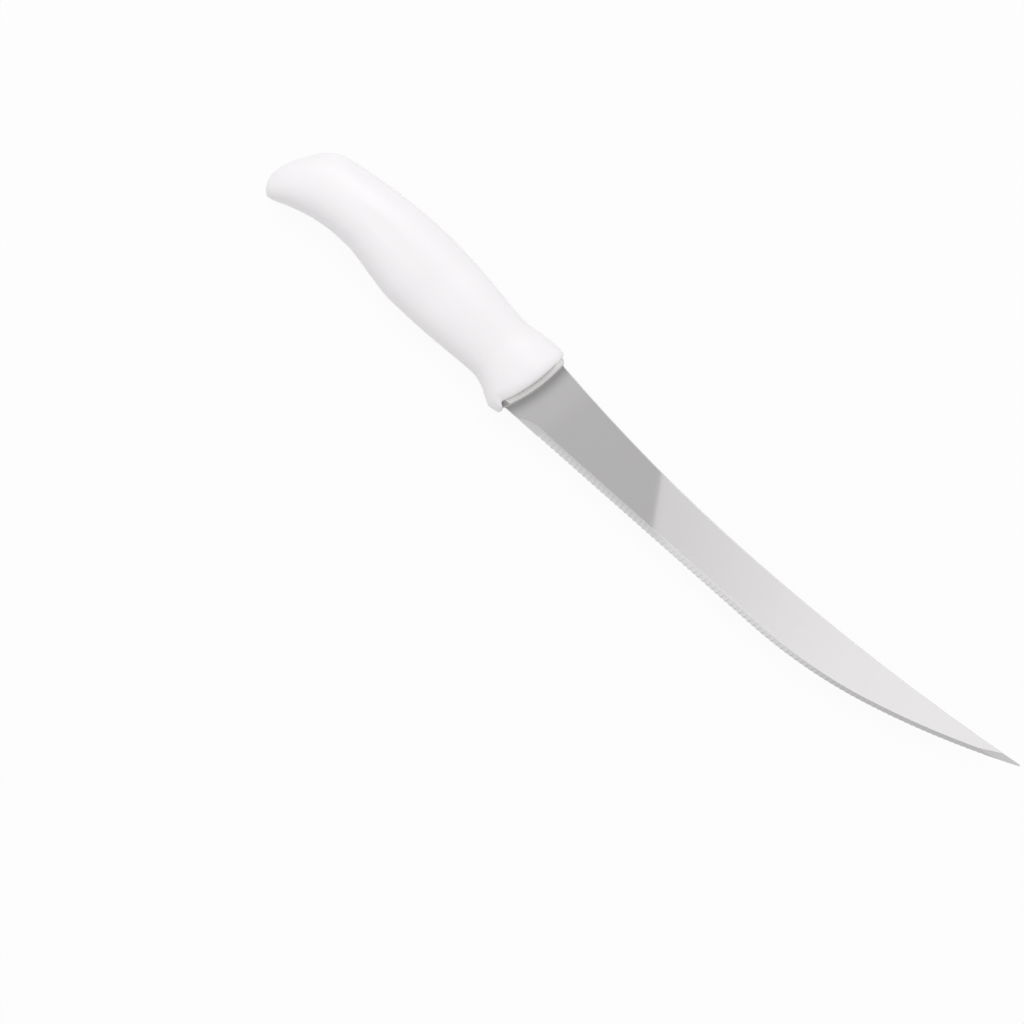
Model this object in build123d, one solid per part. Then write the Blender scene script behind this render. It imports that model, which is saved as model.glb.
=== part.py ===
from build123d import *

import math
import os

# Tomato knife, lying on its side: a stamped and ground steel blade whose tang is held by a moulded core,
# inside a white outer moulding. All sizes are in millimetres and all turns in degrees.
# The knife is drawn with X along the straight cutting edge towards the point, Y up from that edge to the
# spine, and Z through the thickness. X = 0 is where the cutting edge's line enters the handle.

# Blade, seen from the side
point_place = 205.3
heel_height = 24.2
waist_place = 91.9
waist_height = 16.9
point_height = 24.2
straight_edge_length = 106.7
belly_radius = 187.0
belly_turn = 14.3
tip_radius = 0.3

# Blade, thickness and grinding
stock_thickness = 1.2
grind_relief = 0.05
grind_margin = 0.5
spine_break = 0.18
bevel_width = 2.4
edge_thickness = 0.12
bevel_start = 12.0
bevel_lead_radius = 10.0
bevel_lead_turn = 50.0
tip_overrun = 6.0

# Teeth of the cutting edge, ground from the right side only
tooth_pitch = 2.0
tooth_depth = 0.2
tooth_land = 0.12
tooth_floor_share = 0.45
tooth_run_out = 2.0
tooth_tip_margin = 12.0

# Tang
shoulder_back = 4.0
tang_root_depth = 12.0
tang_end_depth = 8.0
tang_to_butt = 37.0
tang_corner_radius = 2.0
lock_hole_radius = 2.5
first_hole_place = 26.0
last_hole_margin = 20.0

# Grip
handle_length = 109.15
handle_depth = 30.4
handle_thickness = 19.0
side_flat_depth = 0.15

# Guard, the flare at the front of the handle
guard_length = 17.0
crest_back = 6.0
guard_drop = 3.3
guard_rise = 2.5
neck_rise = 1.6
neck_hollow = 1.55
guard_thickness = 19.0
front_reach = 2.1
front_radius = 52.0
front_crest_height = 23.4
front_edge_break = 0.4
chin_stand = 3.8
chin_radius = 1.8

# Core
lip_stand = 1.9
lip_edge_radius = 0.5
collar_wall = 2.0
collar_thickness = 12.6
collar_cover_top = 0.25
collar_cover_bottom = 1.9
collar_bevel_height = 3.7
collar_bevel_width = 4.2
collar_top_radius = 3.5
collar_corner_radius = 0.6
shell_wall = 2.4
plug_end_wall = 5.0
plug_cover = 2.5
plug_side_cover = 2.75
plug_rise = 2.3
core_clearance = 0.1
overrun = 1.0

# Stations of the grip, from the beak of the butt to just behind the neck. Each gives how far back its lower
# and upper points lie, as shares of the way from the neck to the butt, their heights above the cutting
# edge's line as shares of the handle's depth, and its width as a share of its thickness.
grip_shares = (
    (0.980, 0.043, 1.000, 0.178, 0.23),
    (0.965, 0.014, 0.999, 0.270, 0.41),
    (0.943, 0.018, 0.988, 0.395, 0.56),
    (0.916, 0.048, 0.965, 0.536, 0.69),
    (0.893, 0.075, 0.935, 0.675, 0.77),
    (0.868, 0.100, 0.908, 0.775, 0.83),
    (0.834, 0.130, 0.877, 0.853, 0.88),
    (0.805, 0.152, 0.845, 0.894, 0.91),
    (0.775, 0.169, 0.805, 0.914, 0.94),
    (0.716, 0.187, 0.735, 0.945, 0.97),
    (0.660, 0.186, 0.665, 0.969, 0.99),
    (0.609, 0.176, 0.609, 0.985, 1.00),
    (0.514, 0.115, 0.514, 1.000, 1.00),
    (0.415, 0.055, 0.415, 1.000, 0.99),
    (0.343, 0.043, 0.343, 0.988, 0.98),
    (0.271, 0.037, 0.271, 0.968, 0.95),
    (0.195, 0.038, 0.195, 0.940, 0.93),
    (0.120, 0.044, 0.120, 0.904, 0.90),
)
butt_end_shares = (0.991, 0.105)
neck_width_share = 0.86

# Stations of the guard, from just ahead of the neck to just past the front. Each gives how far back its
# lower and upper points lie, where 0 is the front, 1 the crest of the guard and 2 the neck, and how far its
# lower point, upper point and width have gone from the neck's to the guard's own.
guard_shares = (
    (1.567, 1.552, 0.24, -0.15, 0.08),
    (1.258, 1.212, 0.62, 0.50, 0.42),
    (0.990, 0.680, 0.95, 0.88, 0.84),
    (0.540, -0.085, 1.00, 1.00, 1.00),
    (0.085, -0.850, 1.00, 1.00, 1.00),
)
section_fullness = 2.4
section_parts = 16
plug_corner_share = 0.35

# Sizes that follow from those above
tang_length = handle_length - tang_to_butt
collar_back = shoulder_back + collar_wall
guard_low = -guard_drop
guard_high = heel_height + guard_rise
grip_length = handle_length - guard_length
neck_low = neck_hollow
neck_high = heel_height + neck_rise
neck_thickness = neck_width_share * handle_thickness
round_thickness = handle_thickness + 2 * side_flat_depth
round_guard_thickness = guard_thickness + 2 * side_flat_depth
plug_length = tang_length + plug_end_wall
plug_root_depth = neck_high - neck_low - 2 * shell_wall
plug_root_height = (neck_high + neck_low) / 2
plug_root_thickness = neck_thickness - 2 * shell_wall
tang_height = plug_root_height + plug_rise / 2
grind_start = front_reach + lip_stand + grind_margin
ground_half = stock_thickness / 2 - grind_relief
bevel_slope = (ground_half - edge_thickness / 2) / bevel_width


def side_point(along, height):
    """Point of the side view."""
    return Vector(along, height, 0)


def waist_point():
    """Lowest point of the spine's hollow."""
    return side_point(waist_place, waist_height)


def tip_point():
    """Where the lines of the edge and the spine meet."""
    return side_point(point_place, point_height)


def belly_curve():
    """First, fuller part of the edge's rise towards the point."""
    return JernArc(side_point(straight_edge_length, 0), (1, 0), belly_radius, belly_turn)


def point_curve(belly):
    """Last part of the edge, from the belly to the point."""
    return TangentArc(belly @ 1, tip_point(), tangent=belly % 1)


def blade_outline():
    """Side view of the blade from its shoulders to its point."""
    heel_top = side_point(-shoulder_back, heel_height)
    heel_bottom = side_point(-shoulder_back, 0)
    belly = belly_curve()
    front_spine = TangentArc(waist_point(), tip_point(), tangent=(1, 0))
    rear_spine = TangentArc(waist_point(), heel_top, tangent=(-1, 0))
    straight = Line(heel_bottom, belly @ 0)
    shoulder = Line(heel_top, heel_bottom)
    outline = make_face([straight, belly, point_curve(belly), front_spine, rear_spine, shoulder])
    point = outline.vertices().sort_by(Axis.X)[-1]
    return fillet(point, tip_radius)


def tang_outline():
    """Side view of the tang, with the holes that the core's plastic fills."""
    root_high = tang_height + tang_root_depth / 2
    root_low = tang_height - tang_root_depth / 2
    end_high = tang_height + tang_end_depth / 2
    end_low = tang_height - tang_end_depth / 2
    corners = [
        (-shoulder_back + overrun, root_low),
        (-shoulder_back + overrun, root_high),
        (-shoulder_back, root_high),
        (-tang_length, end_high),
        (-tang_length, end_low),
        (-shoulder_back, root_low),
    ]
    outline = make_face(Polyline(*corners, close=True))
    outline = fillet(outline.vertices().group_by(Axis.X)[0], tang_corner_radius)
    holes = [
        Pos(-first_hole_place, tang_height) * Circle(lock_hole_radius),
        Pos(last_hole_margin - tang_length, tang_height) * Circle(lock_hole_radius),
    ]
    return outline - holes


def edge_route():
    """Path of the grinding along the cutting edge, from its lead-in to past the point."""
    belly = belly_curve()
    point = point_curve(belly)
    start = side_point(bevel_start, 0)
    back = JernArc(start, (-1, 0), bevel_lead_radius, bevel_lead_turn)
    lead = ThreePointArc(back @ 1, back @ 0.5, back @ 0)
    straight = Line(start, belly @ 0)
    run_out = Line(point @ 1, point @ 1 + (point % 1) * tip_overrun)
    return Wire([lead, straight, belly, point, run_out])


def side_normal(tangent):
    """Direction from the edge towards the spine, square to the route's own direction."""
    return Vector(0, 0, 1).cross(tangent)


def bevel_tool(route):
    """Wedge swept along the edge, which leaves the bevel of the right side."""
    low = -overrun
    high = bevel_width + overrun
    clear = ground_half + 2 * overrun
    wedge = Polyline(
        (low, edge_thickness / 2 + low * bevel_slope),
        (high, edge_thickness / 2 + high * bevel_slope),
        (high, clear),
        (low, clear),
        close=True,
    )
    start = route % 0
    section_plane = Plane(origin=route @ 0, x_dir=side_normal(start), z_dir=start)
    return sweep(section_plane * make_face(wedge), path=route)


def tooth_section():
    """Cross-section of the wheel that grinds one tooth gap: a flat floor between two slopes, open above."""
    half_gap = (tooth_pitch - tooth_land) / 2
    half_floor = tooth_floor_share * half_gap
    corners = [
        (-half_gap, overrun),
        (-half_gap, 0),
        (-half_floor, -tooth_depth),
        (half_floor, -tooth_depth),
        (half_gap, 0),
        (half_gap, overrun),
    ]
    return make_face(Polyline(*corners, close=True))


def tooth_tools(route):
    """One grinding cut for each tooth gap. Each cut is deepest at the edge and runs out up the bevel."""
    section = tooth_section()
    run_out_angle = math.atan(tooth_depth / tooth_run_out)
    bevel_angle = math.atan(bevel_slope)
    rise = bevel_angle + run_out_angle
    lead_length = bevel_lead_radius * math.radians(bevel_lead_turn)
    first = lead_length + tooth_pitch
    last = route.length - tip_overrun - tooth_tip_margin
    tools = []
    for count in range(int((last - first) / tooth_pitch)):
        share = (first + count * tooth_pitch) / route.length
        along = route % share
        up_bevel = side_normal(along) * math.cos(rise) + Vector(0, 0, math.sin(rise))
        origin = route @ share + Vector(0, 0, edge_thickness / 2) - up_bevel * overrun
        cut = extrude(Plane(origin=origin, x_dir=-along, z_dir=up_bevel) * section,
                      amount=tooth_run_out + 2 * overrun)
        tools.append(cut)
    return tools


def make_blade():
    """The blade with its tang, as one piece of sheet."""
    outline = blade_outline()
    ground = extrude(outline, amount=ground_half, both=True)
    rim = ground.faces().filter_by(Axis.Z).edges()
    ground = chamfer(rim.filter_by(lambda edge: edge.center().X > 0), spine_break)
    heel_box = Pos(grind_start - point_place, 0) * Rectangle(2 * point_place, 2 * point_place)
    heel_outline = outline & heel_box
    heel = extrude(heel_outline + tang_outline(), amount=stock_thickness / 2, both=True)
    right_tool = bevel_tool(edge_route())
    left_tool = mirror(right_tool, about=Plane.XY)
    blade = ground + heel - right_tool - left_tool
    return blade - tooth_tools(edge_route())


def grip_point(back_share, height_share):
    """Point of the side view from shares of the grip's length and the handle's depth."""
    return side_point(-guard_length - back_share * grip_length, height_share * handle_depth)


def full_oval(lower, upper, thickness):
    """Closed section between two points of the side view, a little squarer than an ellipse."""
    centre = (lower + upper) * 0.5
    half_depth = (upper - lower) * 0.5
    power = 2 / section_fullness
    points = []
    for part in range(section_parts):
        angle = math.tau * part / section_parts
        along = math.copysign(abs(math.cos(angle)) ** power, math.cos(angle))
        across = math.copysign(abs(math.sin(angle)) ** power, math.sin(angle))
        points.append(centre + half_depth * along + Vector(0, 0, across * thickness / 2))
    knots = [part / section_parts for part in range(section_parts + 1)]
    oval = Edge.make_spline(points, periodic=True, parameters=knots)
    return Face(Wire([oval.trim(start, end) for start, end in zip(knots, knots[1:])]))


def between(start, end, share):
    """Value that lies a share of the way from one size to another."""
    return start + (end - start) * share


def guard_place(reach):
    """Place along the knife of a station of the guard, from how far back it reaches."""
    if reach > 1:
        return -between(crest_back, guard_length, reach - 1)
    return -reach * crest_back


def handle_sections():
    """Sections of the handle from the butt to just past its front."""
    sections = []
    for lower_back, lower_height, upper_back, upper_height, width in grip_shares:
        lower = grip_point(lower_back, lower_height)
        upper = grip_point(upper_back, upper_height)
        sections.append(full_oval(lower, upper, width * round_thickness))
    neck_bottom = side_point(-guard_length, neck_low)
    neck_top = side_point(-guard_length, neck_high)
    sections.append(full_oval(neck_bottom, neck_top, neck_thickness))
    for lower_back, upper_back, drop, rise, flare in guard_shares:
        lower = side_point(guard_place(lower_back), between(neck_low, guard_low, drop))
        upper = side_point(guard_place(upper_back), between(neck_high, guard_high, rise))
        sections.append(full_oval(lower, upper, between(neck_thickness, round_guard_thickness, flare)))
    return sections


def ahead_of_front(stand):
    """Everything ahead of the bulging front face, or of a face that stands further out by a given amount."""
    width = 4 * handle_depth
    half_width = width / 2
    block = Pos(half_width - guard_length, front_crest_height) * Rectangle(width, width)
    disc = Pos(front_reach - front_radius, front_crest_height) * Circle(front_radius + stand)
    return extrude(block - disc, amount=handle_thickness + guard_thickness, both=True)


def between_flats():
    """Slab between the flats of the handle's two sides."""
    width = 4 * handle_length
    return Box(width, width, max(handle_thickness, guard_thickness))


def chin():
    """Round at the guard's lowest corner, which stands ahead of the front face and wraps under the lip."""
    drop = front_crest_height - guard_low
    corner_place = front_reach - front_radius + math.sqrt(front_radius**2 - drop**2)
    round_end = Pos(corner_place + chin_stand - chin_radius, guard_low + chin_radius) * Circle(chin_radius)
    return extrude(round_end, amount=handle_thickness + guard_thickness, both=True)


def collar_outline(grow):
    """End view of the collar, in Y and Z, grown all round by a given amount."""
    low = -collar_cover_bottom
    high = heel_height + collar_cover_top
    half = collar_thickness / 2
    low_half = half - collar_bevel_width
    side_low = low + collar_bevel_height
    corners = [
        (low, -low_half),
        (side_low, -half),
        (high, -half),
        (high, half),
        (side_low, half),
        (low, low_half),
    ]
    outline = make_face(Polyline(*corners, close=True))
    top_corners = outline.vertices().group_by(Axis.X)[-1]
    outline = fillet(top_corners, collar_top_radius)
    low_corners = outline.vertices().filter_by(lambda corner: corner.X < side_low + overrun)
    outline = fillet(low_corners, collar_corner_radius)
    if grow > 0:
        outline = offset(outline, amount=grow)
    return outline


def end_view(place):
    """Plane across the handle, whose own axes are Y and Z."""
    return Plane(origin=(place, 0, 0), x_dir=(0, 1, 0), z_dir=(1, 0, 0))


def ordered_corners(section):
    """Corners of a straight-sided section, in the order of its outline."""
    return [edge @ 0 for edge in section.face().outer_wire().order_edges()]


def straight_sided(start, end):
    """Solid with flat sides between two sections that have the same number of corners."""
    near = ordered_corners(start)
    far = ordered_corners(end)
    sides = []
    for count in range(len(near)):
        side = Polyline(near[count - 1], near[count], far[count], far[count - 1], close=True)
        sides.append(make_face(side).face())
    return Solid(Shell([start.face(), end.face(), *sides]))


def plug(grow):
    """Tapered part of the core behind its collar, grown all round by a given amount."""
    ends = [
        (-collar_back + overrun, plug_root_height, plug_root_depth, plug_root_thickness),
        (
            -plug_length - grow,
            plug_root_height + plug_rise,
            tang_end_depth + 2 * plug_cover,
            stock_thickness + 2 * plug_side_cover,
        ),
    ]
    sections = []
    for place, height, depth, thickness in ends:
        block = Rectangle(depth + 2 * grow, thickness + 2 * grow)
        section = chamfer(block.vertices(), plug_corner_share * thickness / 2)
        sections.append(end_view(place) * Pos(height, 0) * section)
    return straight_sided(*sections)


def collar(grow):
    """Block of the core's front, square to the blade, before its front face is shaped."""
    reach = front_reach + lip_stand + 2 * overrun
    length = collar_back + grow + reach
    return extrude(end_view(-collar_back - grow) * collar_outline(grow), amount=length)


def make_core(blade):
    """Inner moulding: collar and plug in one piece, moulded round the tang and through its holes."""
    front = collar(0) - ahead_of_front(lip_stand)
    lip_face = front.faces().sort_by(Axis.X)[-1]
    front = fillet(lip_face.edges(), lip_edge_radius)
    return front + plug(0) - blade


def make_shell():
    """White outer moulding, hollow for the core."""
    drawn = loft([Vertex(*grip_point(*butt_end_shares))] + handle_sections(), ruled=True)
    solid = drawn - ahead_of_front(0)
    front_face = solid.faces().filter_by(GeomType.CYLINDER)[0]
    solid = chamfer(front_face.edges(), front_edge_break)
    solid = solid + (drawn & chin())
    solid = solid & between_flats()
    return solid - collar(core_clearance) - plug(core_clearance)


def set_down(pieces):
    """Moves the pieces so that the origin is under the middle of the knife as it lies on its left side."""
    box = Compound([solid for piece in pieces.values() for solid in piece.solids()]).bounding_box()
    origin = Vector(box.center().X, box.center().Y, box.min.Z)
    return {name: Pos(-origin.X, -origin.Y, -origin.Z) * piece for name, piece in pieces.items()}


blade = make_blade()
knife = {
    "blade": blade,
    "handle_core": make_core(blade),
    "handle_shell": make_shell(),
}
os.makedirs("parts", exist_ok=True)
for name, piece in set_down(knife).items():
    export_step(piece, f"parts/{name}.step")
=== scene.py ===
"""Tomato knife lying on its side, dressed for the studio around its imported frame.

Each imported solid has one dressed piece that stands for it. The blade and the inner moulding are copies of
their solids, with the last grinding and rounding added. The outer moulding is modelled anew on the same
outline, because its real surface is smooth along its whole length.
"""

import logging
import math
from dataclasses import dataclass
from enum import Enum

import bmesh
import bpy
from mathutils import Matrix, Vector

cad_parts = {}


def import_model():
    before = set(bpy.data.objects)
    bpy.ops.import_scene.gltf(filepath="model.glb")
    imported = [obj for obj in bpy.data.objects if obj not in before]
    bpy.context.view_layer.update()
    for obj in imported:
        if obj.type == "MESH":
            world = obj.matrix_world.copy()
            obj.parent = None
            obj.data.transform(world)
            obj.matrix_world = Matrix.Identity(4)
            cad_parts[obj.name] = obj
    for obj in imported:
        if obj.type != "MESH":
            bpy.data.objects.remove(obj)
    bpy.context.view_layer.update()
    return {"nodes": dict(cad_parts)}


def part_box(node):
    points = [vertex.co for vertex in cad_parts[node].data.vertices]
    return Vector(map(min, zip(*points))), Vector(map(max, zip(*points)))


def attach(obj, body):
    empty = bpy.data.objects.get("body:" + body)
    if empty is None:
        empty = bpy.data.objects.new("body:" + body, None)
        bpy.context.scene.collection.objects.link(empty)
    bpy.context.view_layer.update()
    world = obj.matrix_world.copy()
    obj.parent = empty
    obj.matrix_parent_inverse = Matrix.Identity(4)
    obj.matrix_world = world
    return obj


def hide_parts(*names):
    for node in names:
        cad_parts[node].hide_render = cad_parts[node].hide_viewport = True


LOG = logging.getLogger("tomato_knife")
MM = 0.001
HANDLE_LENGTH = 109.15 * MM
MERGE_GAP = 0.001 * MM
CUT_GAP = 0.0001 * MM
ORDER_LINE = Vector((1.0, 0.31, 0.117))

Pair = tuple[float, float]
Triple = tuple[float, float, float]
Socket = bpy.types.NodeSocket


class Slot(Enum):
    """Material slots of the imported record."""

    STEEL = "blade_steel"
    CORE = "core_plastic"
    SHELL = "shell_plastic"


class Node(Enum):
    """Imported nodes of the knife."""

    BLADE = "blade"
    CORE = "handle_core"
    SHELL = "handle_shell"


@dataclass(frozen=True)
class KnifeAxes:
    """Places of the knife's own lines in the row frame, in metres.

    Sizes elsewhere in this file are in millimetres on these lines: ahead of the place where the cutting
    edge's line enters the handle, above that line, and off the middle of the thickness.
    """

    front: float
    edge: float
    middle: float

    @classmethod
    def from_frame(cls, handle_length: float) -> "KnifeAxes":
        """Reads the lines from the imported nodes.

        Args:
            handle_length: Length of the handle behind its front, in metres.

        Returns:
            The knife's own lines.
        """
        shell_low, shell_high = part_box(Node.SHELL.value)
        blade_low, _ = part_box(Node.BLADE.value)
        return cls(shell_low.x + handle_length, blade_low.y, (shell_low.z + shell_high.z) / 2)

    def point(self, along: float, height: float, side: float) -> Vector:
        """Point of the row frame from its sizes: ahead of the front, above the edge and off the middle."""
        return Vector((self.front + along * MM, self.edge + height * MM, self.middle + side * MM))

    def sizes(self, place: Vector) -> Triple:
        """Sizes of a point of the row frame: ahead of the front, above the edge and off the middle."""
        return (place.x - self.front) / MM, (place.y - self.edge) / MM, (place.z - self.middle) / MM


class NodeTree:
    """Short hand for building nodes."""

    def __init__(self, tree: bpy.types.NodeTree) -> None:
        """Takes over a tree of nodes."""
        self.tree = tree

    def add(self, kind: str, **settings: object) -> bpy.types.Node:
        """Adds a node.

        Args:
            kind: Blender's name of its type.
            **settings: Its plain properties.

        Returns:
            The new node.
        """
        node = self.tree.nodes.new(kind)
        for key, value in settings.items():
            setattr(node, key, value)
        return node

    def link(self, source: Socket, target: Socket) -> None:
        """Joins two sockets."""
        self.tree.links.new(source, target)

    def part(self, vector: Socket, axis: str) -> Socket:
        """Takes one component of a vector.

        Args:
            vector: The vector.
            axis: X, Y or Z.

        Returns:
            The component.
        """
        node = self.add("ShaderNodeSeparateXYZ")
        self.link(vector, node.inputs["Vector"])
        return node.outputs[axis]

    def ranged(self, value: Socket, ends: Pair, results: Pair) -> Socket:
        """Maps a value from one range to another, smoothly and held at the ends.

        Args:
            value: Value to map.
            ends: Values where the change starts and ends.
            results: Results at these two.

        Returns:
            The mapped value.
        """
        node = self.add("ShaderNodeMapRange", interpolation_type="SMOOTHSTEP")
        node.inputs["From Min"].default_value = ends[0]
        node.inputs["From Max"].default_value = ends[1]
        node.inputs["To Min"].default_value = results[0]
        node.inputs["To Max"].default_value = results[1]
        self.link(value, node.inputs["Value"])
        return node.outputs["Result"]

    def math(self, operation: str, *values: Socket | float) -> Socket:
        """Joins values by one operation of arithmetic.

        Args:
            operation: Name of the operation.
            *values: Its values in order.

        Returns:
            The result.
        """
        node = self.add("ShaderNodeMath", operation=operation)
        for index, value in enumerate(values):
            if isinstance(value, Socket):
                self.link(value, node.inputs[index])
            else:
                node.inputs[index].default_value = value
        return node.outputs[0]


class MaterialTree(NodeTree):
    """Nodes of one material, around its Principled shader."""

    def __init__(self, name: str) -> None:
        """Starts an empty material.

        Args:
            name: Name of the material.
        """
        self.material = bpy.data.materials.new(name)
        self.material.use_nodes = True
        super().__init__(self.material.node_tree)
        self.shader = self.tree.nodes["Principled BSDF"]
        coordinates = self.add("ShaderNodeTexCoord")
        self.place = coordinates.outputs["Object"]
        self.normal = coordinates.outputs["Normal"]

    def surface(self, shader: Socket) -> None:
        """Makes a shader the material's surface."""
        self.link(shader, self.tree.nodes["Material Output"].inputs["Surface"])

    def stretched(self, scale: Triple) -> Socket:
        """Stretches the object coordinates along the axes.

        Args:
            scale: Factors along X, Y and Z.

        Returns:
            The stretched coordinates.
        """
        mapping = self.add("ShaderNodeMapping")
        mapping.inputs["Scale"].default_value = scale
        self.link(self.place, mapping.inputs["Vector"])
        return mapping.outputs["Vector"]

    def noise(self, vector: Socket, scale: float, detail: float) -> Socket:
        """Adds noise on the given coordinates.

        Args:
            vector: Coordinates.
            scale: Patches for each metre.
            detail: Octaves of finer noise.

        Returns:
            The noise's value, about 0.5.
        """
        node = self.add("ShaderNodeTexNoise")
        node.inputs["Scale"].default_value = scale
        node.inputs["Detail"].default_value = detail
        self.link(vector, node.inputs["Vector"])
        return node.outputs["Fac"]

    def blend(self, share: Socket, first: Triple | Socket, second: Triple | Socket) -> Socket:
        """Mixes two colours.

        Args:
            share: How much of the second colour shows.
            first: Colour at 0.
            second: Colour at 1.

        Returns:
            The mixed colour.
        """
        node = self.add("ShaderNodeMix", data_type="RGBA")
        self.link(share, node.inputs["Factor"])
        for name, colour in (("A", first), ("B", second)):
            socket = next(s for s in node.inputs if s.name == name and s.type == "RGBA")
            if isinstance(colour, Socket):
                self.link(colour, socket)
            else:
                socket.default_value = (*colour, 1.0)
        return next(s for s in node.outputs if s.type == "RGBA")

    def bump(self, height: Socket, strength: float, distance: float) -> None:
        """Sends a height to the shader's normal.

        Args:
            height: Height, from 0 to 1.
            strength: Share of the bump that shows.
            distance: Depth of the relief in metres.
        """
        node = self.add("ShaderNodeBump")
        node.inputs["Strength"].default_value = strength
        node.inputs["Distance"].default_value = distance
        self.link(height, node.inputs["Height"])
        self.link(node.outputs["Normal"], self.shader.inputs["Normal"])


@dataclass(frozen=True)
class SatinSteel:
    """Stainless steel, ground along the blade to a fine satin, with a duller bevel and a rougher arris with a
    painted highlight.
    """

    flat_colour: Triple = (0.90, 0.882, 0.893)
    bevel_colour: Triple = (0.83, 0.82, 0.83)
    # Painted highlight: paler colour along the blade's sharp edges.
    arris_highlight_colour: Triple = (0.95, 0.94, 0.95)
    film_colour: Triple = (0.70, 0.68, 0.67)
    film_range: Pair = (0.35, 0.75)
    film_share: float = 0.07
    flat_roughness: float = 0.16
    bevel_roughness: float = 0.42
    arris_roughness: float = 0.62
    line_wear: float = 0.10
    cloud_wear: float = 0.05
    bevel_uprightness: Pair = (0.985, 0.999)
    arris_width: float = 0.28 * MM
    arris_likeness: Pair = (0.9985, 0.9999)
    arris_samples: int = 6
    line_stretch: Triple = (1.0, 28.0, 28.0)
    line_scale: float = 420.0
    line_detail: float = 4.0
    line_strength: float = 0.5
    line_depth: float = 0.004 * MM
    cloud_scale: float = 60.0
    cloud_detail: float = 3.0

    def material(self) -> bpy.types.Material:
        """Builds the steel's nodes.

        Returns:
            The finished material.
        """
        tree = MaterialTree("satin_steel")
        upright = tree.math("ABSOLUTE", tree.part(tree.normal, "Z"))
        bevel = tree.ranged(upright, self.bevel_uprightness, (1.0, 0.0))
        arris = tree.math("MULTIPLY", self.arris(tree), tree.math("SUBTRACT", 1.0, bevel))
        lines = tree.noise(tree.stretched(self.line_stretch), self.line_scale, self.line_detail)
        clouds = tree.noise(tree.place, self.cloud_scale, self.cloud_detail)
        worn = tree.math("MULTIPLY", tree.math("SUBTRACT", lines, 0.5), self.line_wear)
        drift = tree.math("MULTIPLY", tree.math("SUBTRACT", clouds, 0.5), self.cloud_wear)
        level = tree.ranged(bevel, (0.0, 1.0), (self.flat_roughness, self.bevel_roughness))
        ground = tree.math("ADD", tree.math("ADD", level, worn), drift)
        dull = tree.math("MULTIPLY", arris, self.arris_roughness)
        tree.link(tree.math("MAXIMUM", ground, dull), tree.shader.inputs["Roughness"])
        tone = tree.blend(bevel, self.flat_colour, self.bevel_colour)
        film = tree.ranged(clouds, self.film_range, (0.0, self.film_share))
        filmed = tree.blend(film, tone, self.film_colour)
        # Painted highlight: the arris mask pales the base colour along the edges, besides raising their
        # roughness.
        tree.link(tree.blend(arris, filmed, self.arris_highlight_colour), tree.shader.inputs["Base Color"])
        tree.shader.inputs["Metallic"].default_value = 1.0
        tree.bump(lines, self.line_strength, self.line_depth)
        return tree.material

    def arris(self, tree: MaterialTree) -> Socket:
        """Masks the blade's sharp edges, where handling and honing leave a rougher line that carries a painted
        pale highlight.

        Args:
            tree: The steel's nodes.

        Returns:
            1 on an edge and 0 a little way from it.
        """
        rounded = tree.add("ShaderNodeBevel", samples=self.arris_samples)
        rounded.inputs["Radius"].default_value = self.arris_width
        likeness = tree.add("ShaderNodeVectorMath", operation="DOT_PRODUCT")
        tree.link(rounded.outputs["Normal"], likeness.inputs[0])
        tree.link(tree.add("ShaderNodeNewGeometry").outputs["True Normal"], likeness.inputs[1])
        return tree.ranged(likeness.outputs["Value"], self.arris_likeness, (1.0, 0.0))


@dataclass(frozen=True)
class MouldedPlastic:
    """Moulded polypropylene: an even skin with a very fine texture and a slightly cloudy sheen."""

    name: str
    colour: Triple
    shade: Triple
    roughness: float
    milkiness: float
    # Painted shade: colour for the faces turned away from the spine, the shadowed underside of the lip.
    painted_shade_colour: Triple | None = None
    painted_shade_facing: Pair = (-0.75, -0.35)
    shade_range: Pair = (0.35, 0.70)
    gloss_range: Pair = (0.3, 0.7)
    gloss_spread: Pair = (-0.04, 0.05)
    cloud_scale: float = 38.0
    grain_scale: float = 2600.0
    noise_detail: float = 2.0
    grain_strength: float = 0.35
    grain_depth: float = 0.012 * MM
    refraction: float = 1.49
    glow_reach: Triple = (1.2, 1.1, 1.0)

    def material(self) -> bpy.types.Material:
        """Builds the plastic's nodes.

        Returns:
            The finished material.
        """
        tree = MaterialTree(self.name)
        clouds = tree.noise(tree.place, self.cloud_scale, self.noise_detail)
        grain = tree.noise(tree.place, self.grain_scale, self.noise_detail)
        tint = tree.blend(tree.ranged(clouds, self.shade_range, (0.0, 1.0)), self.colour, self.shade)
        tree.link(self.shaded(tree, tint), tree.shader.inputs["Base Color"])
        glossy, dull = (self.roughness + spread for spread in self.gloss_spread)
        tree.link(tree.ranged(clouds, self.gloss_range, (glossy, dull)), tree.shader.inputs["Roughness"])
        tree.shader.inputs["IOR"].default_value = self.refraction
        tree.shader.inputs["Subsurface Weight"].default_value = self.milkiness
        tree.shader.inputs["Subsurface Radius"].default_value = self.glow_reach
        tree.shader.inputs["Subsurface Scale"].default_value = 1.0 * MM
        tree.bump(grain, self.grain_strength, self.grain_depth)
        return tree.material

    def shaded(self, tree: MaterialTree, tint: Socket) -> Socket:
        """Greys the faces that look away from the spine, as painted shade under the lip.

        Args:
            tree: The plastic's nodes.
            tint: Colour of the skin without the painted shade.

        Returns:
            The colour with its greyed faces.
        """
        if self.painted_shade_colour is None:
            return tint
        # Painted shade: faces turned away from the spine take the darker colour.
        facing = tree.part(tree.normal, "Y")
        return tree.blend(tree.ranged(facing, self.painted_shade_facing, (1.0, 0.0)), tint, self.painted_shade_colour)


@dataclass(frozen=True)
class Station:
    """One section of the handle: its lowest and highest point from the side, and its width, all in mm."""

    lower_along: float
    lower_height: float
    upper_along: float
    upper_height: float
    width: float

    def values(self) -> tuple[float, ...]:
        """The five sizes in order."""
        return (self.lower_along, self.lower_height, self.upper_along, self.upper_height, self.width)


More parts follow.
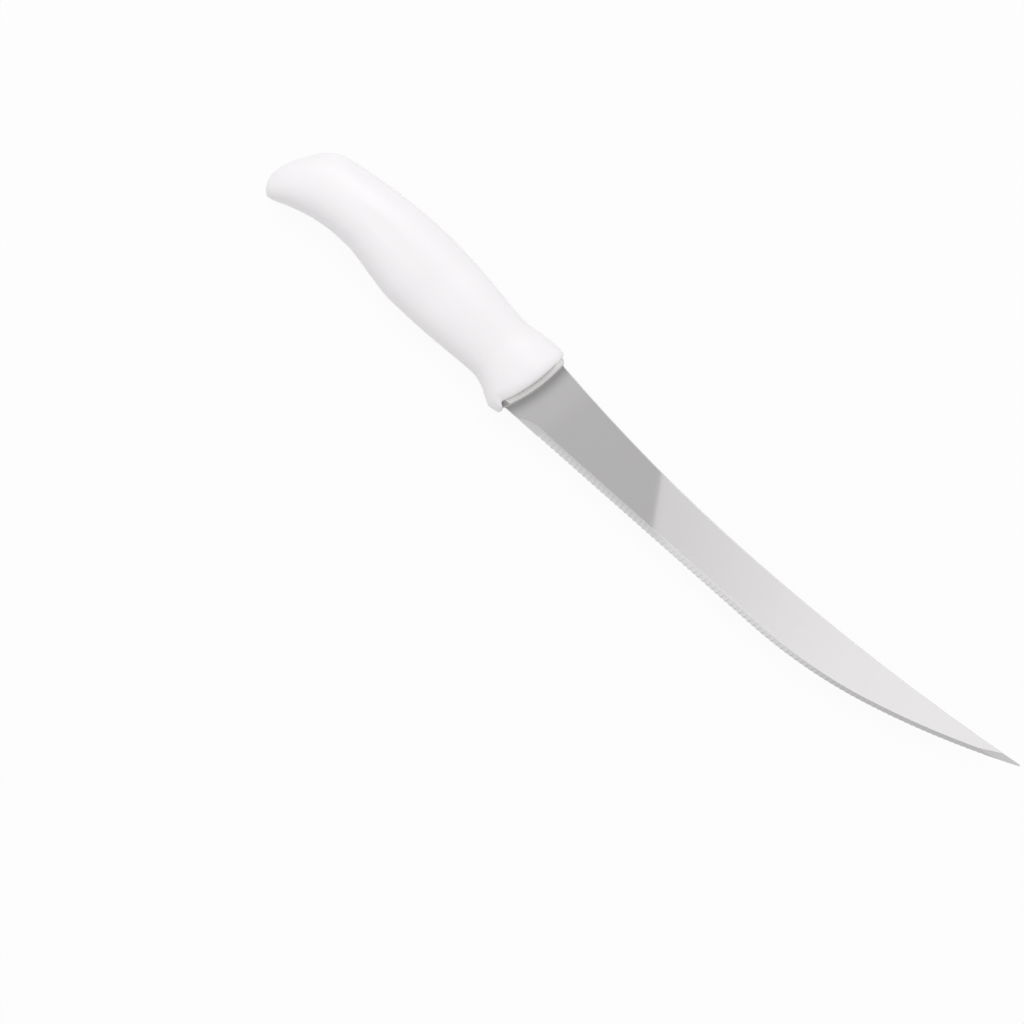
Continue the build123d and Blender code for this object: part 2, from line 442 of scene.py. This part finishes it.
def through(before: Station, start: Station, end: Station, after: Station, share: float) -> Station:
    """Finds the station on a smooth run through four others, between the middle two.

    Args:
        before: Station before the start.
        start: Station at share 0.
        end: Station at share 1.
        after: Station after the end.
        share: Place between start and end.

    Returns:
        The station in between.
    """
    sizes = []
    for a, b, c, d in zip(before.values(), start.values(), end.values(), after.values()):
        slope_b = (c - a) / 2
        slope_c = (d - b) / 2
        square = share * share
        cube = square * share
        sizes.append((2 * cube - 3 * square + 1) * b + (cube - 2 * square + share) * slope_b
                     + (3 * square - 2 * cube) * c + (cube - square) * slope_c)
    return Station(*sizes)


def packed_copy(node: bpy.types.Object) -> bmesh.types.BMesh:
    """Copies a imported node's mesh, with its loose triangles merged.

    Args:
        node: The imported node.

    Returns:
        The closed mesh, in the row frame.
    """
    mesh = bmesh.new()
    mesh.from_mesh(node.data)
    mesh.transform(node.matrix_world)
    bmesh.ops.remove_doubles(mesh, verts=mesh.verts, dist=MERGE_GAP)
    return mesh


def settle_order(mesh: bmesh.types.BMesh) -> None:
    """Sorts points, edges and faces along one slanting line, because extruding leaves them in chance order.

    Args:
        mesh: Mesh to sort.
    """
    mesh.verts.sort(key=lambda vert: vert.co.dot(ORDER_LINE))
    mesh.edges.sort(key=lambda edge: (edge.verts[0].co + edge.verts[1].co).dot(ORDER_LINE))
    mesh.faces.sort(key=lambda face: face.calc_center_median().dot(ORDER_LINE))


def finished_piece(name: str, mesh: bmesh.types.BMesh, material: bpy.types.Material, sharp: float,
                   node: Node) -> bpy.types.Object:
    """Turns a mesh into a piece of the knife.

    Args:
        name: Name of the piece.
        mesh: Its finished mesh.
        material: Its finish.
        sharp: Least angle between two faces that shows as an edge, in radians.
        node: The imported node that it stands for.

    Returns:
        The piece, with its place in the assembly.
    """
    data = bpy.data.meshes.new(name)
    mesh.to_mesh(data)
    mesh.free()
    data.shade_smooth()
    data.set_sharp_from_angle(angle=sharp)
    data.materials.clear()
    data.materials.append(material)
    piece = bpy.data.objects.new(name, data)
    bpy.context.scene.collection.objects.link(piece)
    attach(piece, "root")
    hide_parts(node.value)
    LOG.info("%s: %d faces", name, len(data.polygons))
    return piece


def ring_edges(mesh: bmesh.types.BMesh, ring: list[bmesh.types.BMVert]) -> list[bmesh.types.BMEdge]:
    """Edges between the neighbouring points of a closed ring, in order."""
    return [mesh.edges.get(pair) for pair in zip(ring, ring[1:] + ring[:1])]


def draw_out(mesh: bmesh.types.BMesh, ring: list[bmesh.types.BMVert]) -> list[bmesh.types.BMVert]:
    """Extrudes a closed ring once.

    Args:
        mesh: Mesh that holds the ring.
        ring: Points of the ring in order.

    Returns:
        The new ring's points, in the same order.
    """
    made = bmesh.ops.extrude_edge_only(mesh, edges=ring_edges(mesh, ring))["geom"]
    old = set(ring)
    mapped = {}
    for vert in (v for v in made if isinstance(v, bmesh.types.BMVert)):
        for edge in vert.link_edges:
            other = edge.other_vert(vert)
            if other in old:
                mapped[other] = vert
    return [mapped[vert] for vert in ring]


@dataclass
class OuterMoulding:
    """White outer moulding: beaked butt, palm swell, neck and flared guard, open in front for the core."""

    axes: KnifeAxes
    finish: MouldedPlastic
    ring_points: int = 96
    rings_between: int = 5
    guard_rings: int = 20
    search_steps: int = 40
    fullness: float = 2.4
    flat_half: float = 9.5
    butt_point: Pair = (-108.32, 3.2)
    butt_shares: tuple[float, ...] = (0.12, 0.35, 0.6, 0.82)
    stations: tuple[Station, ...] = (
        Station(-107.22, 1.34, -109.10, 5.41, 4.44),
        Station(-105.92, 0.43, -109.06, 8.21, 7.91),
        Station(-103.90, 0.55, -108.04, 12.01, 10.81),
        Station(-101.41, 1.46, -105.92, 16.29, 13.32),
        Station(-99.29, 2.28, -103.16, 20.52, 14.86),
        Station(-96.99, 3.04, -100.67, 23.56, 16.02),
        Station(-93.85, 3.95, -97.82, 25.93, 16.98),
        Station(-91.18, 4.62, -94.87, 27.18, 17.56),
        Station(-88.42, 5.14, -91.18, 27.79, 18.14),
        Station(-82.98, 5.68, -84.73, 28.73, 18.72),
        Station(-77.82, 5.65, -78.28, 29.46, 19.11),
        Station(-73.12, 5.35, -73.12, 29.94, 19.30),
        Station(-64.37, 3.50, -64.37, 30.36, 19.30),
        Station(-55.24, 1.67, -55.24, 30.34, 19.11),
        Station(-48.61, 1.31, -48.61, 30.04, 18.91),
        Station(-41.97, 1.12, -41.97, 29.43, 18.34),
        Station(-34.97, 1.16, -34.97, 28.58, 17.95),
        Station(-28.06, 1.34, -28.06, 27.48, 17.37),
        Station(-17.00, 1.55, -17.00, 25.80, 16.34),
        Station(-12.24, 0.39, -12.07, 25.67, 16.58),
        Station(-8.84, -1.46, -8.33, 26.25, 17.58),
        Station(-5.94, -3.06, -4.08, 26.50, 18.83),
        Station(-3.24, -3.30, 0.51, 26.45, 19.30),
        Station(-0.51, -3.30, 5.10, 26.10, 19.30),
    )
    guard_start: int = 18
    front_radius: float = 52.0
    front_reach: float = 2.1
    front_crest: float = 23.4
    chin_place: Pair = (-3.28, -1.5)
    chin_radius: float = 1.8
    rim_back: float = 3.0
    rim_side_inset: float = 1.6
    rim_top_inset: float = 1.1
    rim_low_inset: float = 0.5
    rim_steps: int = 10
    opening_corners: tuple[Pair, ...] = (
        (-2.0, -2.14), (1.84, -6.4), (24.55, -6.4), (24.55, 6.4), (1.84, 6.4), (-2.0, 2.14),
    )
    opening_top_radius: float = 3.6
    opening_low_radius: float = 0.7
    opening_split: float = 20.0
    opening_corner_parts: int = 8
    opening_long_side: float = 2.0
    opening_side_cuts: int = 11
    opening_round: float = 0.35
    opening_floor: float = -6.1
    sharp: float = math.radians(42.0)

    def oval(self, station: Station, angle: float) -> Triple:
        """Finds a point of a station's section, a little squarer than an ellipse, with a flat on each side.

        Args:
            station: The section.
            angle: Turn about the section's middle, from its upper point.

        Returns:
            Millimetres along, up and to the side.
        """
        power = 2 / self.fullness
        rise = math.copysign(abs(math.cos(angle)) ** power, math.cos(angle))
        side = math.copysign(abs(math.sin(angle)) ** power, math.sin(angle))
        share = (1 + rise) / 2
        along = station.lower_along + (station.upper_along - station.lower_along) * share
        height = station.lower_height + (station.upper_height - station.lower_height) * share
        half = side * station.width / 2
        return along, height, max(-self.flat_half, min(self.flat_half, half))

    def front_face(self, height: float) -> float:
        """Finds how far ahead the front lies: a wide bulge, with the round chin at its foot.

        Args:
            height: Height above the edge's line, in mm.

        Returns:
            Millimetres ahead.
        """
        off = height - self.front_crest
        bulge = self.front_reach - self.front_radius + math.sqrt(self.front_radius ** 2 - off ** 2)
        below = abs(height - self.chin_place[1])
        if below >= self.chin_radius:
            return bulge
        return max(bulge, self.chin_place[0] + math.sqrt(self.chin_radius ** 2 - below ** 2))

    def station_at(self, run: float) -> Station:
        """Finds the station at a place along the handle.

        Args:
            run: Number of the station, with any share of the way to the next.

        Returns:
            The station there, on a smooth run through its neighbours.
        """
        last = len(self.stations) - 1
        index = min(int(run), last - 1)
        before = self.stations[max(index - 1, 0)]
        after = self.stations[min(index + 2, last)]
        return through(before, self.stations[index], self.stations[index + 1], after, run - index)

    def front_run(self, angle: float) -> float:
        """Finds where one line of the skin meets the start of the rounded rim, by halving.

        Args:
            angle: Turn of the line about the section's middle.

        Returns:
            The place, counted in stations.
        """
        low = float(self.guard_start)
        high = float(len(self.stations) - 1)
        for _ in range(self.search_steps):
            middle = (low + high) / 2
            along, height, _ = self.oval(self.station_at(middle), angle)
            if along < self.front_face(height) - self.rim_back:
                low = middle
            else:
                high = middle
        return (low + high) / 2

    def angles(self) -> list[float]:
        """Turns of a ring's points."""
        return [math.tau * step / self.ring_points for step in range(self.ring_points)]

    def place_ring(self, ring: list[bmesh.types.BMVert], places: list[Triple]) -> None:
        """Moves a ring's points to their places, given in mm."""
        for vert, place in zip(ring, places):
            vert.co = self.axes.point(*place)

    def butt_places(self, share: float) -> list[Triple]:
        """Places a ring on the round end of the butt.

        Args:
            share: Share of the quarter turn from the end point to the first station.

        Returns:
            The ring's places in mm.
        """
        butt = (*self.butt_point, 0.0)
        reach = math.sin(share * math.pi / 2)
        first = self.stations[0]
        return [tuple(b + (o - b) * reach for b, o in zip(butt, self.oval(first, angle)))
                for angle in self.angles()]

    def rim_places(self, turn: float) -> list[Triple]:
        """Places a ring on the rounded rim, from the skin at turn 0 to the front face at a quarter turn.

        Args:
            turn: How far round the rim the ring lies.

        Returns:
            The ring's places in mm.
        """
        last = self.stations[-1]
        middle = (last.lower_height + last.upper_height) / 2
        half_height = (last.upper_height - last.lower_height) / 2
        over = 1 - math.cos(turn)
        back = self.rim_back * (1 - math.sin(turn))
        places = []
        for angle in self.angles():
            _, height, side = self.oval(self.station_at(self.front_run(angle)), angle)
            inset = self.rim_top_inset if height > middle else self.rim_low_inset
            height = middle + (height - middle) * (1 - over * inset / half_height)
            side = side * (1 - over * self.rim_side_inset / self.flat_half)
            places.append((self.front_face(height) - back, height, side))
        return places

    def skin_rings(self) -> list[list[Triple]]:
        """Places all rings from the butt to the front face.

        Returns:
            The rings' places in mm.
        """
        angles = self.angles()
        rings = [self.butt_places(share) for share in self.butt_shares]
        for step in range(self.guard_start * self.rings_between):
            station = self.station_at(step / self.rings_between)
            rings.append([self.oval(station, angle) for angle in angles])
        runs = [self.front_run(angle) - self.guard_start for angle in angles]
        for step in range(self.guard_rings):
            share = step / self.guard_rings
            rings.append([self.oval(self.station_at(self.guard_start + run * share), angle)
                          for angle, run in zip(angles, runs)])
        for step in range(self.rim_steps + 1):
            rings.append(self.rim_places(math.pi / 2 * step / self.rim_steps))
        return rings

    def opening_outline(self) -> list[Pair]:
        """Draws the outline of the opening, with its rounded corners.

        Returns:
            Height and side of its points in order, in mm.
        """
        mesh = bmesh.new()
        corners = [mesh.verts.new((0.0, height, side)) for height, side in self.opening_corners]
        mesh.faces.new(corners)
        upper = [v for v in corners if v.co.y > self.opening_split]
        lower = [v for v in corners if v.co.y <= self.opening_split]
        for group, radius in ((upper, self.opening_top_radius), (lower, self.opening_low_radius)):
            bmesh.ops.bevel(mesh, geom=group, offset=radius, segments=self.opening_corner_parts,
                            profile=0.5, affect="VERTICES", material=-1)
        sides = [edge for edge in mesh.edges if edge.calc_length() > self.opening_long_side]
        bmesh.ops.subdivide_edges(mesh, edges=sides, cuts=self.opening_side_cuts)
        mesh.faces.ensure_lookup_table()
        outline = [(vert.co.y, vert.co.z) for vert in mesh.faces[0].verts]
        mesh.free()
        return outline

    def open_front(self, mesh: bmesh.types.BMesh, rim: list[bmesh.types.BMVert]) -> None:
        """Joins the front face to the opening for the core and sinks the opening's wall.

        Args:
            mesh: Mesh that holds the skin.
            rim: Last ring of the front face.
        """
        outline = self.opening_outline()
        size = len(outline)
        loop = bmesh.ops.create_circle(mesh, cap_ends=False, segments=size, radius=MM)["verts"]
        middle = sum(height for height, _ in outline) / size
        for vert, (height, side) in zip(loop, outline):
            away = Vector((height - middle, side)).normalized() * self.opening_round
            wide = height + away.x
            vert.co = self.axes.point(self.front_face(wide), wide, side + away.y)
        bmesh.ops.bridge_loops(mesh, edges=ring_edges(mesh, loop) + ring_edges(mesh, rim))
        loop = draw_out(mesh, loop)
        self.place_ring(loop, [(self.front_face(h) - self.opening_round, h, s) for h, s in outline])
        loop = draw_out(mesh, loop)
        self.place_ring(loop, [(self.opening_floor, h, s) for h, s in outline])
        bmesh.ops.contextual_create(mesh, geom=ring_edges(mesh, loop))

    def build(self) -> bpy.types.Object:
        """Draws the skin from the butt to the front, round the rim and into the opening.

        Returns:
            The finished piece.
        """
        mesh = bmesh.new()
        ring = bmesh.ops.create_circle(mesh, cap_ends=True, segments=self.ring_points, radius=MM)["verts"]
        bmesh.ops.poke(mesh, faces=mesh.faces)
        pole = next(v for v in mesh.verts if v not in set(ring))
        pole.co = self.axes.point(*self.butt_point, 0.0)
        rings = self.skin_rings()
        for places in rings[:-1]:
            self.place_ring(ring, places)
            ring = draw_out(mesh, ring)
        self.place_ring(ring, rings[-1])
        self.open_front(mesh, ring)
        bmesh.ops.recalc_face_normals(mesh, faces=mesh.faces)
        settle_order(mesh)
        return finished_piece("outer_moulding", mesh, self.finish.material(), self.sharp,
                              Node.SHELL)


@dataclass
class Blade:
    """Blade and tang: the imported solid, with its heel levelled and its bevel narrower at the belly."""

    axes: KnifeAxes
    finish: SatinSteel
    belly_start: float = 106.7
    belly_radius: float = 187.0
    belly_turn: float = math.radians(14.3)
    point_radius: float = 315.5
    slope_step: float = 0.5
    waist: Pair = (91.9, 16.9)
    spine_radius: float = 884.4
    spine_margin: float = 0.5
    bevel_width: float = 2.45
    narrow_start: float = 80.0
    narrow_end: float = 150.0
    narrow_share: float = 0.62
    heel_back: float = -5.0
    flat_half: float = 0.55
    sliver_area: float = 2e-5
    sharp: float = math.radians(6.0)

    def edge_height(self, along: float) -> float:
        """Finds the height of the cutting edge: straight, then the belly's arc, then a flatter one.

        Args:
            along: Millimetres ahead of the handle's front.

        Returns:
            The height in mm.
        """
        if along <= self.belly_start:
            return 0.0
        ahead = self.belly_radius * math.sin(self.belly_turn)
        if along <= self.belly_start + ahead:
            return self.belly_radius - math.sqrt(self.belly_radius ** 2 - (along - self.belly_start) ** 2)
        centre = self.belly_start + ahead - self.point_radius * math.sin(self.belly_turn)
        height = self.belly_radius + (self.point_radius - self.belly_radius) * math.cos(self.belly_turn)
        return height - math.sqrt(self.point_radius ** 2 - (along - centre) ** 2)

    def spine_height(self, along: float) -> float:
        """Height of the spine's line ahead of the waist, in mm."""
        off = along - self.waist[0]
        return self.waist[1] + self.spine_radius - math.sqrt(self.spine_radius ** 2 - off ** 2)

    def width_share(self, along: float) -> float:
        """How much of its full width the bevel keeps at a place along the blade."""
        share = min(1.0, max(0.0, (along - self.narrow_start) / (self.narrow_end - self.narrow_start)))
        return 1.0 - (1.0 - self.narrow_share) * share * share * (3 - 2 * share)

    def ground(self, along: float, height: float, side: float) -> Triple:
        """Finds the place of a point after the last grinding.

        Args:
            along: Millimetres ahead of the handle's front.
            height: Millimetres above the straight edge.
            side: Millimetres off the middle.

        Returns:
            The new place. Only the bevel's points and the heel's thickness change.
        """
        if along > self.heel_back:
            side = math.copysign(min(abs(side), self.flat_half), side)
        if along > self.narrow_start and height < self.spine_height(along) - self.spine_margin:
            edge = self.edge_height(along)
            step = self.slope_step
            slope = (self.edge_height(along + step) - self.edge_height(along - step)) / (2 * step)
            if height - edge < self.bevel_width * math.hypot(1.0, slope):
                height = edge + (height - edge) * self.width_share(along)
        return along, height, side

    def fill_slivers(self, mesh: bmesh.types.BMesh) -> None:
        """Turns the longest edge of each empty sliver that the levelled step leaves, which gives it an area.

        Args:
            mesh: The blade's triangles.
        """
        slivers = [face for face in mesh.faces if face.calc_area() < self.sliver_area * MM ** 2]
        edges = [max(face.edges, key=lambda edge: edge.calc_length()) for face in slivers]
        for edge in edges:
            bmesh.ops.rotate_edges(mesh, edges=[edge], use_ccw=False)

    def build(self, nodes: dict[str, bpy.types.Object]) -> bpy.types.Object:
        """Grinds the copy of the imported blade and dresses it.

        Args:
            nodes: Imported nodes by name.

        Returns:
            The finished blade.
        """
        mesh = packed_copy(nodes[Node.BLADE.value])
        for vert in mesh.verts:
            vert.co = self.axes.point(*self.ground(*self.axes.sizes(vert.co)))
        bmesh.ops.remove_doubles(mesh, verts=mesh.verts, dist=MERGE_GAP)
        self.fill_slivers(mesh)
        return finished_piece("blade_and_tang", mesh, self.finish.material(), self.sharp,
                              Node.BLADE)


@dataclass
class InnerMoulding:
    """Pale inner moulding around the tang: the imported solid, with the lip's upper corner and rim rounded."""

    axes: KnifeAxes
    finish: MouldedPlastic
    flat_angle: float = math.radians(0.5)
    corner_centre: Pair = (2.3, 22.75)
    corner_radius: float = 1.7
    corner_cuts: int = 7
    rim_round: float = 0.28
    rim_parts: int = 3
    rim_back: float = -3.0
    rim_ahead: float = 0.75
    rim_aside: float = 0.45
    slot_half: float = 1.5
    slot_low: float = -1.0
    slot_high: float = 24.0
    sharp: float = math.radians(40.0)

    def trim(self, mesh: bmesh.types.BMesh, turn: float) -> None:
        """Cuts the lip's upper front corner off along one tangent of its rounding.

        Args:
            mesh: The moulding's mesh.
            turn: Turn of the tangent's normal from straight ahead towards the spine.
        """
        ahead, up = math.cos(turn), math.sin(turn)
        place = self.axes.point(self.corner_centre[0] + self.corner_radius * ahead,
                                self.corner_centre[1] + self.corner_radius * up, 0.0)
        cut = bmesh.ops.bisect_plane(mesh, geom=[*mesh.verts, *mesh.edges, *mesh.faces], dist=CUT_GAP,
                                     plane_co=place, plane_no=Vector((ahead, up, 0.0)), clear_outer=True)
        edges = [item for item in cut["geom_cut"] if isinstance(item, bmesh.types.BMEdge)]
        bmesh.ops.holes_fill(mesh, edges=edges, sides=0)

    def rim_edges(self, mesh: bmesh.types.BMesh) -> list[bmesh.types.BMEdge]:
        """Finds the edges between the lip's front face and its outer sides.

        Args:
            mesh: The moulding's mesh.

        Returns:
            The edges, without those of the slot that the blade fills.
        """
        found = []
        for edge in mesh.edges:
            middle = (edge.verts[0].co + edge.verts[1].co) / 2
            along, height, side = self.axes.sizes(middle)
            at_slot = abs(side) < self.slot_half and self.slot_low < height < self.slot_high
            if len(edge.link_faces) != 2 or along < self.rim_back or at_slot:
                continue
            outer, front = sorted(face.normal.x for face in edge.link_faces)
            if front > self.rim_ahead and outer < self.rim_aside:
                found.append(edge)
        return found

    def build(self, nodes: dict[str, bpy.types.Object]) -> bpy.types.Object:
        """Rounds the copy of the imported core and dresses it.

        Args:
            nodes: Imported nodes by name.

        Returns:
            The finished moulding.
        """
        mesh = packed_copy(nodes[Node.CORE.value])
        bmesh.ops.dissolve_limit(mesh, angle_limit=self.flat_angle, verts=mesh.verts, edges=mesh.edges)
        mesh.normal_update()
        bmesh.ops.bevel(mesh, geom=self.rim_edges(mesh), offset=self.rim_round * MM,
                        segments=self.rim_parts, profile=0.5, affect="EDGES", material=-1)
        for step in range(1, self.corner_cuts):
            self.trim(mesh, math.pi / 2 * step / self.corner_cuts)
        return finished_piece("inner_moulding", mesh, self.finish.material(), self.sharp,
                              Node.CORE)


@dataclass
class Studio:
    """Pale table, soft light, two sheets for the steel to mirror, and the camera above the knife."""

    axes: KnifeAxes
    image_side: int = 1024
    scale: float = 0.3288
    roll: float = math.radians(41.438)
    origin_pixel: Pair = (507.635, 409.941)
    lens: float = 85.0
    sensor: float = 36.0
    floor_side: float = 6.0
    floor_colour: Triple = (0.80, 0.80, 0.80)
    floor_roughness: float = 0.9
    floor_white: float = 0.92
    world_level: float = 0.80
    world_low: float = 0.70
    world_rise: float = 0.45
    world_tilt: float = 0.12
    zenith_share: float = 0.60
    zenith_rim: float = 0.990
    key_place: Triple = (-0.52, 0.57, 1.1)
    key_side: float = 0.9
    key_power: float = 4.4
    card_level: float = 0.47
    card_bump: float = 1.08
    card_bump_end: Pair = (7.0, 18.0)
    card_lip_level: float = 0.27
    card_height: float = 13.0
    card_corners: tuple[Pair, ...] = ((-12.0, -40.0), (89.6, -40.0), (26.2, 60.0), (-12.0, 60.0))
    card_low_fade: Pair = (-11.0, -1.0)
    card_high_fade: Pair = (26.0, 44.0)
    card_fade_level: float = 0.86
    lip_centre: Pair = (-49.9, 23.4)
    lip_radius: float = 53.6
    lip_shade: float = 4.6
    flag_level: float = 0.50
    flag_height: float = 40.0
    flag_corners: tuple[Pair, ...] = ((140.0, -60.0), (250.0, -50.0), (250.0, 20.0), (140.0, -7.0))

    @property
    def distance(self) -> float:
        """Camera's distance above the knife's middle plane, in metres."""
        return self.image_side * self.scale * MM * self.lens / self.sensor

    def looked_at(self) -> Vector:
        """Finds the point of the knife's middle plane at the picture's centre.

        Returns:
            The point, in the row frame.
        """
        across = (self.image_side / 2 - self.origin_pixel[0]) * self.scale
        down = (self.image_side / 2 - self.origin_pixel[1]) * self.scale
        along = across * math.cos(self.roll) + down * math.sin(self.roll)
        height = across * math.sin(self.roll) - down * math.cos(self.roll)
        return self.axes.point(along, height, 0.0)

    def camera(self) -> None:
        """Sets up the camera."""
        data = bpy.data.cameras.new("camera")
        data.lens = self.lens
        data.sensor_width = self.sensor
        camera = bpy.data.objects.new("camera", data)
        bpy.context.scene.collection.objects.link(camera)
        camera.location = self.looked_at() + Vector((0.0, 0.0, self.distance))
        camera.rotation_euler = (0.0, 0.0, self.roll)
        bpy.context.scene.camera = camera

    def floor_material(self) -> bpy.types.Material:
        """Builds a table top that reads as nearly white to the camera and keeps a light shadow.

        Returns:
            The table's material.
        """
        tree = MaterialTree("table_top")
        tree.shader.inputs["Base Color"].default_value = (*self.floor_colour, 1.0)
        tree.shader.inputs["Roughness"].default_value = self.floor_roughness
        tree.shader.inputs["Specular IOR Level"].default_value = 0.0
        white = tree.add("ShaderNodeEmission")
        white.inputs["Color"].default_value = (1.0, 1.0, 1.0, 1.0)
        path = tree.add("ShaderNodeLightPath")
        seen = tree.math("MAXIMUM", path.outputs["Is Camera Ray"], path.outputs["Is Glossy Ray"])
        seen = tree.math("MAXIMUM", seen, path.outputs["Is Transmission Ray"])
        mixed = tree.add("ShaderNodeMixShader")
        tree.link(tree.math("MULTIPLY", seen, self.floor_white), mixed.inputs["Fac"])
        tree.link(tree.shader.outputs["BSDF"], mixed.inputs[1])
        tree.link(white.outputs["Emission"], mixed.inputs[2])
        tree.surface(mixed.outputs["Shader"])
        return tree.material

    def stage_sheet(self, corners: list[Vector], material: bpy.types.Material) -> bpy.types.Object:
        """Lays one flat sheet of the studio, named after its material.

        Args:
            corners: Its corners in order, in metres.
            material: Its material.

        Returns:
            The sheet.
        """
        mesh = bmesh.new()
        mesh.faces.new([mesh.verts.new(corner) for corner in corners])
        data = bpy.data.meshes.new(material.name)
        mesh.to_mesh(data)
        mesh.free()
        data.materials.append(material)
        sheet = bpy.data.objects.new(material.name, data)
        bpy.context.scene.collection.objects.link(sheet)
        return sheet

    def floor(self) -> None:
        """Lays the table top at the knife's lowest level."""
        half = self.floor_side / 2
        corners = [Vector((x * half, y * half, 0.0)) for x, y in ((-1, -1), (1, -1), (1, 1), (-1, 1))]
        self.stage_sheet(corners, self.floor_material())

    def hang(self, tree: MaterialTree, corners: tuple[Pair, ...], height: float,
             level: Socket | float) -> None:
        """Hangs a sheet over the knife that shows in glossy surfaces alone.

        Args:
            tree: The sheet's nodes.
            corners: Its corners from the side of the knife, in mm.
            height: Its height above the knife's middle, in mm.
            level: How bright it is.
        """
        glow = tree.add("ShaderNodeEmission")
        if isinstance(level, Socket):
            tree.link(level, glow.inputs["Strength"])
        else:
            glow.inputs["Strength"].default_value = level
        tree.surface(glow.outputs["Emission"])
        sheet = self.stage_sheet([self.axes.point(x, y, height) for x, y in corners], tree.material)
        sheet.visible_camera = False
        sheet.visible_diffuse = False
        sheet.visible_shadow = False
        sheet.visible_transmission = False

    def reflector(self) -> None:
        """Hangs the grey card that the steel's rear half mirrors.

        It is darker above the lip, and pales towards its lower and upper sides.
        """
        tree = MaterialTree("grey_card")
        centre = tree.add("ShaderNodeMapping")
        centre.inputs["Location"].default_value = -self.axes.point(*self.lip_centre, self.card_height)
        tree.link(tree.place, centre.inputs["Vector"])
        ahead = tree.add("ShaderNodeVectorMath", operation="LENGTH")
        tree.link(centre.outputs["Vector"], ahead.inputs[0])
        off = ahead.outputs["Value"]
        lip = self.lip_radius * MM
        rise = tree.ranged(off, (lip, lip + self.lip_shade * MM),
                           (self.card_lip_level, self.card_level * self.card_bump))
        fall = tree.ranged(off, tuple(lip + end * MM for end in self.card_bump_end),
                           (1.0, 1 / self.card_bump))
        up = tree.part(tree.place, "Y")
        low, high = (tuple(self.axes.point(0.0, height, 0.0).y for height in fade)
                     for fade in (self.card_low_fade, self.card_high_fade))
        pale = tree.math("ADD", tree.ranged(up, low, (1.0, 0.0)), tree.ranged(up, high, (0.0, 1.0)))
        dark = tree.math("MULTIPLY", tree.math("MULTIPLY", rise, fall), tree.math("SUBTRACT", 1.0, pale))
        level = tree.math("ADD", dark, tree.math("MULTIPLY", pale, self.card_fade_level))
        self.hang(tree, self.card_corners, self.card_height, level)

    def flag(self) -> None:
        """Hangs the dark flag that the bevel near the point mirrors."""
        self.hang(MaterialTree("dark_flag"), self.flag_corners, self.flag_height, self.flag_level)

    def world(self) -> None:
        """Fills the room with a soft light that is a little stronger from the top of the picture.

        It is a little weaker straight above, where the camera hangs, and the steel shows that.
        """
        world = bpy.data.worlds.new("studio")
        world.use_nodes = True
        tree = NodeTree(world.node_tree)
        background = tree.tree.nodes["Background"]
        background.inputs["Color"].default_value = (1.0, 1.0, 1.0, 1.0)
        direction = tree.add("ShaderNodeTexCoord").outputs["Generated"]
        up = tree.part(direction, "Z")
        zenith = tree.ranged(up, (self.zenith_rim, 1.0),
                             (self.world_level, self.world_level * self.zenith_share))
        across = tree.add("ShaderNodeVectorMath", operation="DOT_PRODUCT")
        across.inputs[1].default_value = (-math.sin(self.roll), math.cos(self.roll), 0.0)
        tree.link(direction, across.inputs[0])
        rise = tree.math("MULTIPLY_ADD", up, self.world_rise, self.world_low)
        tilt = tree.math("MULTIPLY_ADD", across.outputs["Value"], self.world_tilt, rise)
        tree.link(tree.math("MULTIPLY", zenith, tilt), background.inputs["Strength"])
        bpy.context.scene.world = world

    def key(self) -> None:
        """Hangs the square soft lamp towards the top of the picture."""
        data = bpy.data.lights.new("key", "AREA")
        data.shape = "SQUARE"
        data.size = self.key_side
        data.energy = self.key_power
        lamp = bpy.data.objects.new("key", data)
        bpy.context.scene.collection.objects.link(lamp)
        turn = (-Vector(self.key_place)).to_track_quat("-Z", "Y").to_matrix().to_4x4()
        lamp.matrix_world = Matrix.Translation(self.key_place) @ turn

    def build(self) -> None:
        """Sets up floor, card, flag, world, lamp and camera."""
        self.floor()
        self.reflector()
        self.flag()
        self.world()
        self.key()
        self.camera()
        LOG.info("studio: camera %.3f m above the knife", self.distance)


def main() -> None:
    """Builds the dressed knife and its studio."""
    logging.basicConfig(level=logging.INFO, format="%(name)s: %(message)s")
    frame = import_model()
    bpy.context.scene.view_settings.view_transform = "Standard"
    axes = KnifeAxes.from_frame(HANDLE_LENGTH)
    white = MouldedPlastic("white_plastic", colour=(0.93, 0.905, 0.925), shade=(0.91, 0.89, 0.905),
                           roughness=0.36, milkiness=0.08)
    # The core's darker colour on faces turned away from the spine is painted shade under the lip.
    grey = MouldedPlastic("core_plastic", colour=(0.72, 0.715, 0.70), shade=(0.67, 0.665, 0.65),
                          roughness=0.42, milkiness=0.05, painted_shade_colour=(0.36, 0.355, 0.34))
    Blade(axes, SatinSteel()).build(frame["nodes"])
    InnerMoulding(axes, grey).build(frame["nodes"])
    OuterMoulding(axes, white).build()
    Studio(axes).build()


if __name__ == "__main__":
    main()
